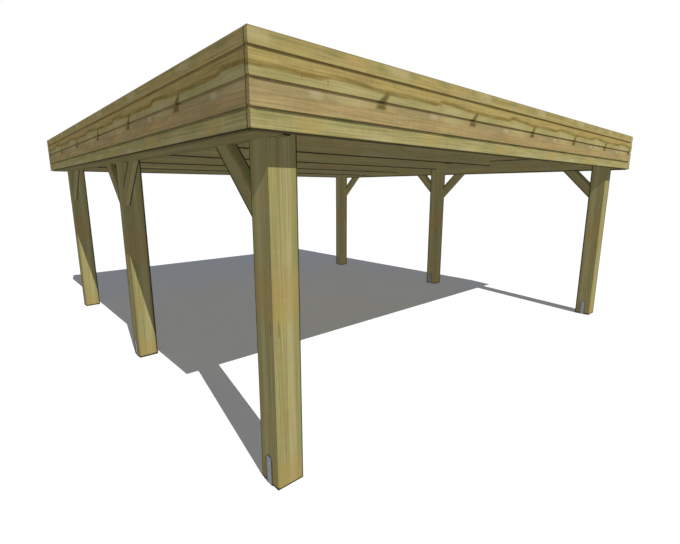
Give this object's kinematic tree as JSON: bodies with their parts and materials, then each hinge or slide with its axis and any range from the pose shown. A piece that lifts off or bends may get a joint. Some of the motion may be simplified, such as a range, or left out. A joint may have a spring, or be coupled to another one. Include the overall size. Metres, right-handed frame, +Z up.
{
  "type": "double carport",
  "caption": "Flat-roofed timber carport, an open frame of square posts with knee braces under a ring of beams, sloping joists and a deep boarded fascia.",
  "frame": {"origin": "centre of the plan on the ground, under the middle of the roof", "axes": "+Z up, the front, where cars drive in, towards -Y, left and right sides towards -X and +X"},
  "size_m": [6, 6, 2.54],
  "materials": {
    "frame_timber": "planed pressure-treated pine, posts, beams, braces and joists",
    "fascia_timber": "planed pressure-treated pine boards",
    "deck_board": "sawn roof boarding",
    "roofing_felt": "mineral-faced bitumen roofing felt, slate grey",
    "galvanised_steel": "dull galvanised"
  },
  "bodies": {
    "root": {"back_beam": "frame_timber", "back_fascia_board_1": "fascia_timber", "back_fascia_board_2": "fascia_timber", "back_fascia_board_3": "fascia_timber", "back_fascia_board_4": "fascia_timber", "back_parapet_rail": "frame_timber", "front_beam": "frame_timber", "front_fascia_board_1": "fascia_timber", "front_fascia_board_2": "fascia_timber", "front_fascia_board_3": "fascia_timber", "front_fascia_board_4": "fascia_timber", "front_parapet_rail": "frame_timber", "left_back_brace": "frame_timber", "left_back_post": "frame_timber", "left_beam": "frame_timber", "left_fascia_board_1": "fascia_timber", "left_fascia_board_2": "fascia_timber", "left_fascia_board_3": "fascia_timber", "left_fascia_board_4": "fascia_timber", "left_front_brace": "frame_timber", "left_front_post": "frame_timber", "left_middle_back_brace": "frame_timber", "left_middle_front_brace": "frame_timber", "left_middle_post": "frame_timber", "left_parapet_rail": "frame_timber", "left_post_anchors": "galvanised_steel", "right_back_brace": "frame_timber", "right_back_post": "frame_timber", "right_beam": "frame_timber", "right_fascia_board_1": "fascia_timber", "right_fascia_board_2": "fascia_timber", "right_fascia_board_3": "fascia_timber", "right_fascia_board_4": "fascia_timber", "right_front_brace": "frame_timber", "right_front_post": "frame_timber", "right_middle_back_brace": "frame_timber", "right_middle_front_brace": "frame_timber", "right_middle_post": "frame_timber", "right_parapet_rail": "frame_timber", "right_post_anchors": "galvanised_steel", "roof_deck": "deck_board", "roof_joist_1": "frame_timber", "roof_joist_2": "frame_timber", "roof_joist_3": "frame_timber", "roof_joist_4": "frame_timber", "roof_joist_5": "frame_timber", "roof_joist_6": "frame_timber", "roof_joist_7": "frame_timber", "roof_membrane": "roofing_felt", "soffit_boards": "fascia_timber"}
  },
  "joints": []
}
